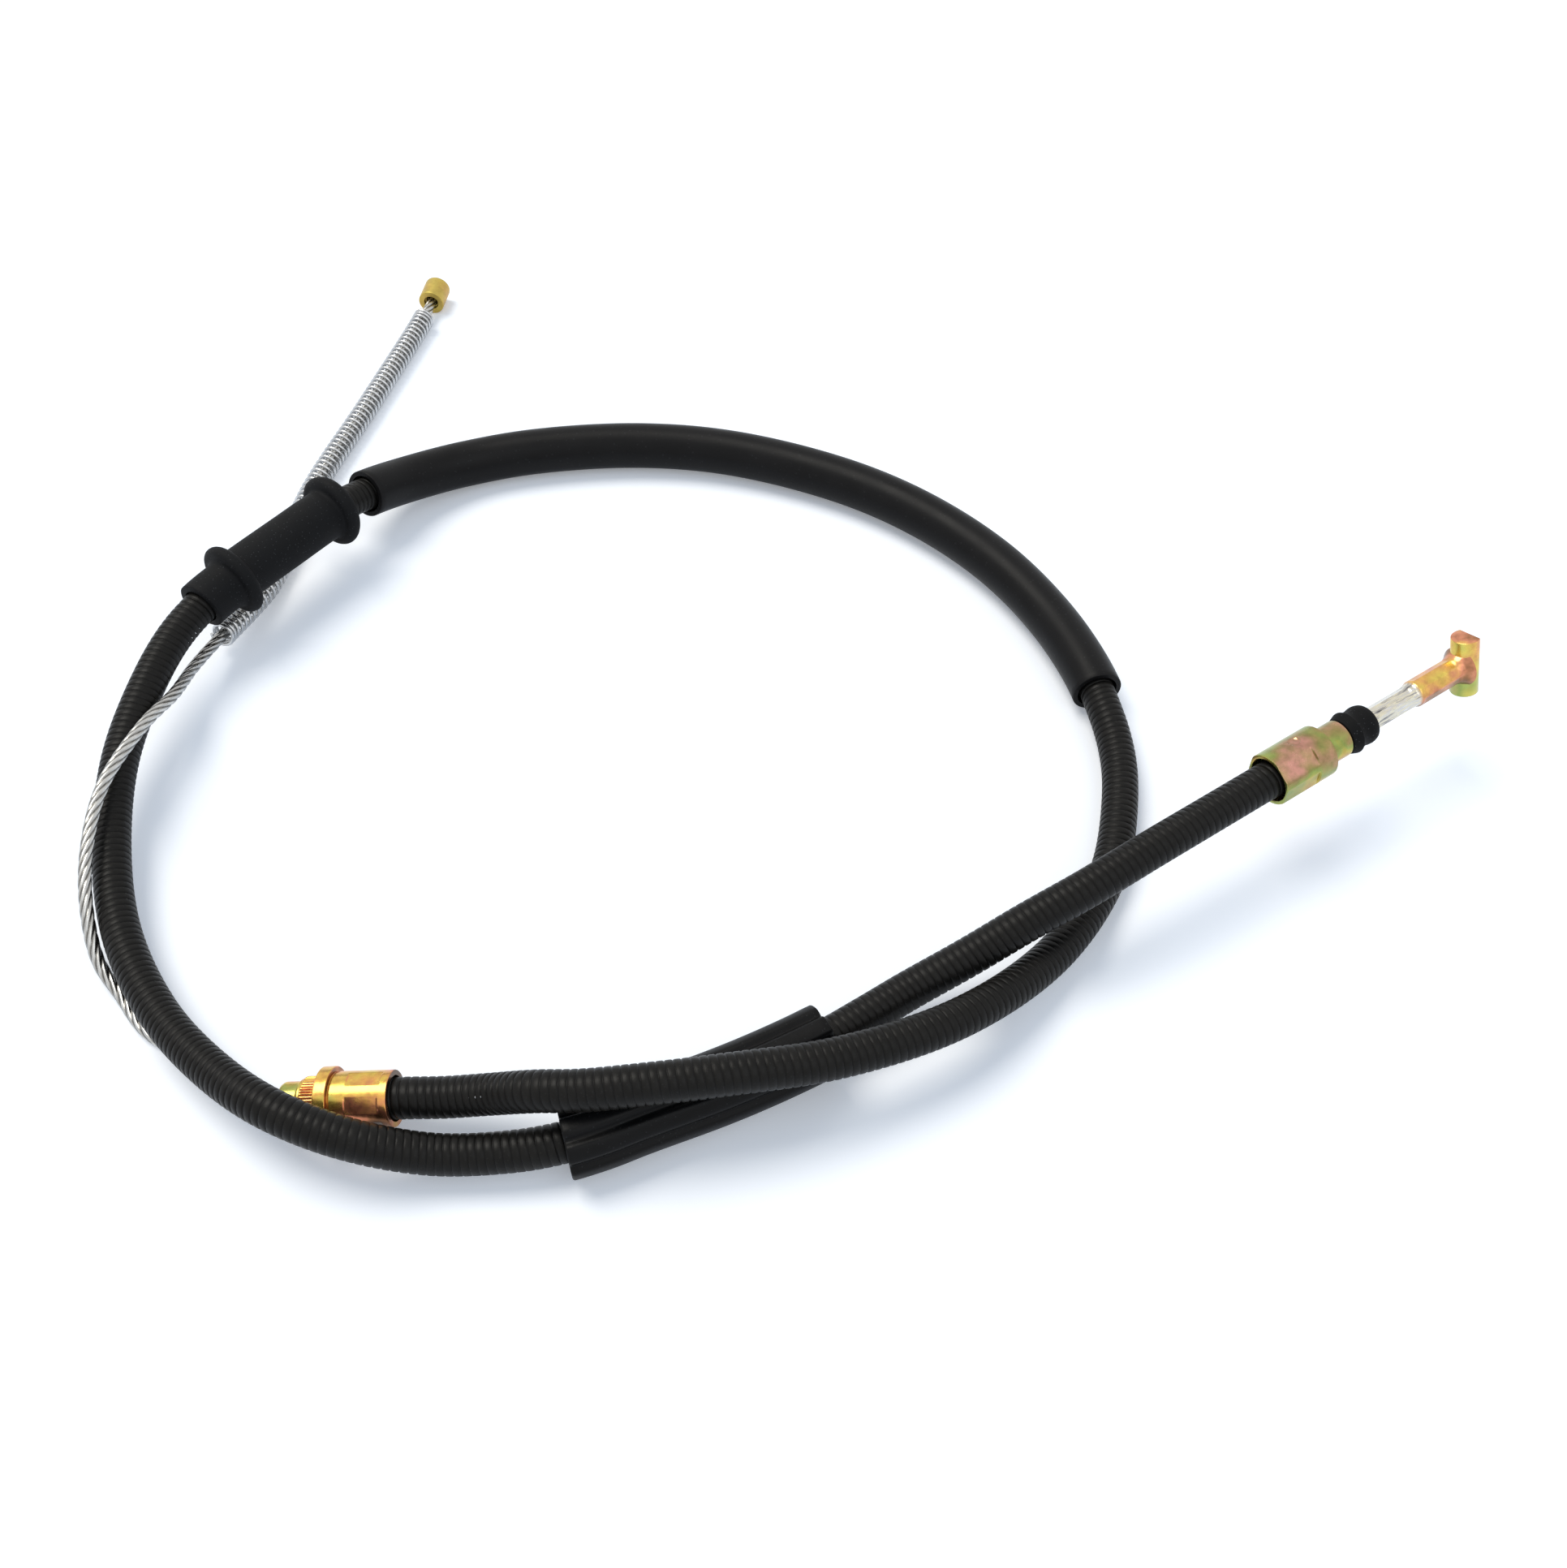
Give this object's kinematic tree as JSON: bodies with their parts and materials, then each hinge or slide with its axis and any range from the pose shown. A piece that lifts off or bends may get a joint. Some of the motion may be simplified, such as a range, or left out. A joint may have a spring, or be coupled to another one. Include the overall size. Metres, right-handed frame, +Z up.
{
  "type": "parking brake cable",
  "caption": "Parking brake cable: ribbed black conduit in a loop, crimped ferrules, T end, grommet, lobed sleeve, plain tube, bare strand with return spring and end nipple.",
  "frame": {"origin": "under the middle of the part as it lies, on the surface that it rests on", "axes": "+Z up from the table, +X towards the T end on its raised arm, +Y towards the end nipple"},
  "size_m": [0.3942, 0.3754, 0.0432],
  "materials": {
    "t_end_plating": "yellow passivated zinc, rubbed bright on the barrel",
    "strand_steel": "bright twisted wire",
    "seal_rubber": "matte",
    "ferrule_a_plating": "olive yellow passivated zinc",
    "sheath_plastic": "ribbed, warm sheen on the ribs",
    "armour_steel": "flat wire, hidden",
    "liner_plastic": "smooth, hidden",
    "sleeve_rubber": "satin",
    "grommet_rubber": "matte with fine specks",
    "tube_plastic": "smooth satin",
    "ferrule_b_plating": "bright yellow and green passivated zinc",
    "spring_steel": "bright drawn wire",
    "nipple_plating": "brass yellow, matte"
  },
  "bodies": {
    "conduit": {"dust_seal": "seal_rubber", "ferrule_a": "ferrule_a_plating", "conduit_sheath": "sheath_plastic", "conduit_armour": "armour_steel", "conduit_liner": "liner_plastic", "inner_wire": "strand_steel", "ribbed_sleeve": "sleeve_rubber", "grommet": "grommet_rubber", "protective_tube": "tube_plastic", "ferrule_b": "ferrule_b_plating", "return_spring": "spring_steel", "end_nipple": "nipple_plating"},
    "t_end": {"t_end_fitting": "t_end_plating", "inner_wire_front": "strand_steel"}
  },
  "joints": [
    {"name": "t_end_slide", "type": "slide", "parent": "conduit", "child": "t_end", "axis": [0.8356, 0.5481, 0.037], "range_m": [0, 0.015]}
  ]
}
